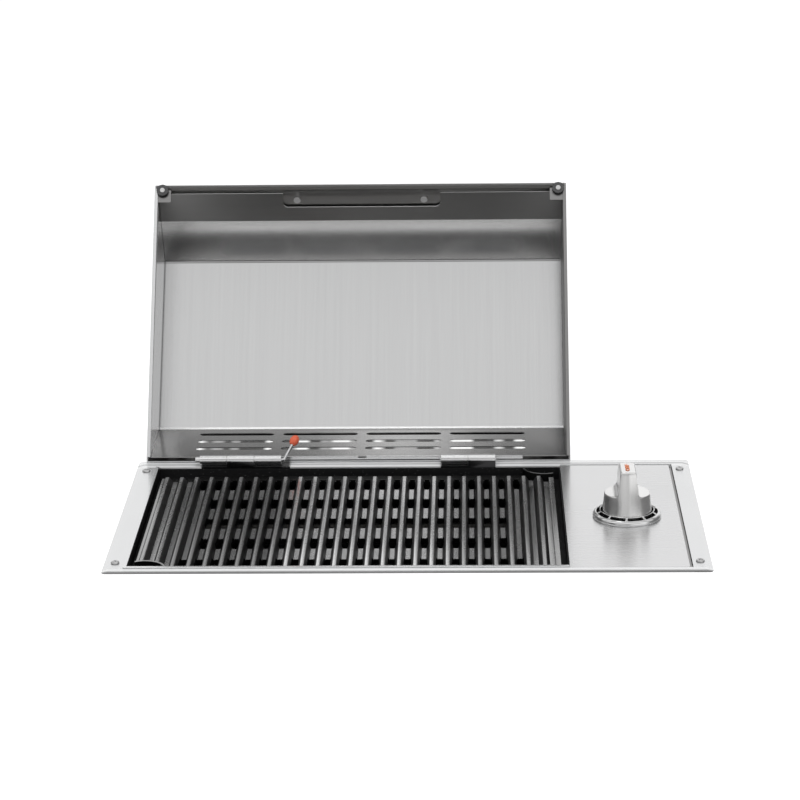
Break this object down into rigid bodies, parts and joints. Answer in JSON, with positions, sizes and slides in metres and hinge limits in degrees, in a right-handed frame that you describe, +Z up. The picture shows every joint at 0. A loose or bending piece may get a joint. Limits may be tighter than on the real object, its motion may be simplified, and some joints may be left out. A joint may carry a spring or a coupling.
{
  "type": "built-in electric grill",
  "caption": "Drop-in electric grill with a trim frame, hinged stainless lid, lift-out ribbed grill plate, control knob with bezel and a box housing below the worktop.",
  "frame": {"origin": "centre of the trim frame's width and depth, on the housing's flat underside", "axes": "+Z up out of the worktop, -Y towards the user, +X to the user's right, where the knob is"},
  "size_m": [0.5334, 0.4977, 0.3379],
  "materials": {
    "steel": "satin brushed stainless steel",
    "liner": "fine brushed stainless sheet",
    "dull_steel": "plain mill finish sheet and fasteners",
    "chrome": "polished",
    "coated_cast": "cast, with a dark non-stick coat",
    "enamel": "black enamel",
    "rubber": "matt",
    "red_plastic": "satin red-orange",
    "orange_paint": "printed mark",
    "element_sheath": "oxidised alloy sheath",
    "ceramic": "unglazed",
    "black_plastic": "moulded",
    "brass": "turned",
    "wire_cover": "heat-proof sleeving"
  },
  "bodies": {
    "base": {"trim_frame": "steel", "gasket_left": "rubber", "gasket_right": "rubber", "gasket_back": "rubber", "corner_screw_front_left": "dull_steel", "corner_screw_front_right": "dull_steel", "corner_screw_back_left": "dull_steel", "corner_screw_back_right": "dull_steel", "housing": "dull_steel", "control_panel": "steel", "firebox": "enamel", "heating_element": "element_sheath", "element_bracket_left": "dull_steel", "element_bracket_right": "dull_steel", "element_terminal_front": "ceramic", "element_terminal_back": "ceramic", "heat_partition": "dull_steel", "drip_tray": "liner", "knob_bezel": "chrome", "heat_regulator": "black_plastic", "regulator_plate": "dull_steel", "regulator_nut": "brass", "terminal_block": "ceramic", "cable_gland": "black_plastic", "gland_nut": "black_plastic", "lead_front_element": "wire_cover", "lead_back_element": "wire_cover", "lead_regulator": "wire_cover", "frame_leaf_left": "steel", "frame_leaf_right": "steel", "fixed_hinge_pin": "dull_steel"},
    "lid": {"lid_shell": "steel", "lid_end_left": "steel", "lid_end_right": "steel", "lid_liner": "liner", "lid_liner_side_left": "liner", "lid_liner_side_right": "liner", "lid_leaf": "steel", "lid_handle": "steel", "handle_screw_left": "chrome", "handle_screw_right": "chrome", "lid_tab_left": "steel", "bumper_left": "rubber", "bumper_screw_left": "chrome", "lid_tab_right": "steel", "bumper_right": "rubber", "bumper_screw_right": "chrome"},
    "release_pin": {"release_pin": "dull_steel", "pin_cap": "red_plastic"},
    "knob": {"control_knob": "steel", "knob_mark": "orange_paint", "regulator_spindle": "dull_steel"},
    "grill_plate": {"grill_plate": "coated_cast"}
  },
  "joints": [
    {"name": "lid_hinge", "type": "hinge", "parent": "base", "child": "lid", "pos_m": [0, 0.1355, 0.1029], "axis": [1, 0, 0], "range_deg": [0, 126.5]},
    {"name": "knob_turn", "type": "hinge", "parent": "base", "child": "knob", "pos_m": [0.1989, -0.013, 0.1], "axis": [0, 0, -1], "range_deg": [0, 280]},
    {"name": "release_pin_slide", "type": "slide", "parent": "lid", "child": "release_pin", "axis": [1, 0, 0], "range_m": [0, 0.078]},
    {"name": "grill_plate_lift", "type": "slide", "parent": "base", "child": "grill_plate", "axis": [0, 0, 1], "range_m": [0, 0.008]}
  ]
}
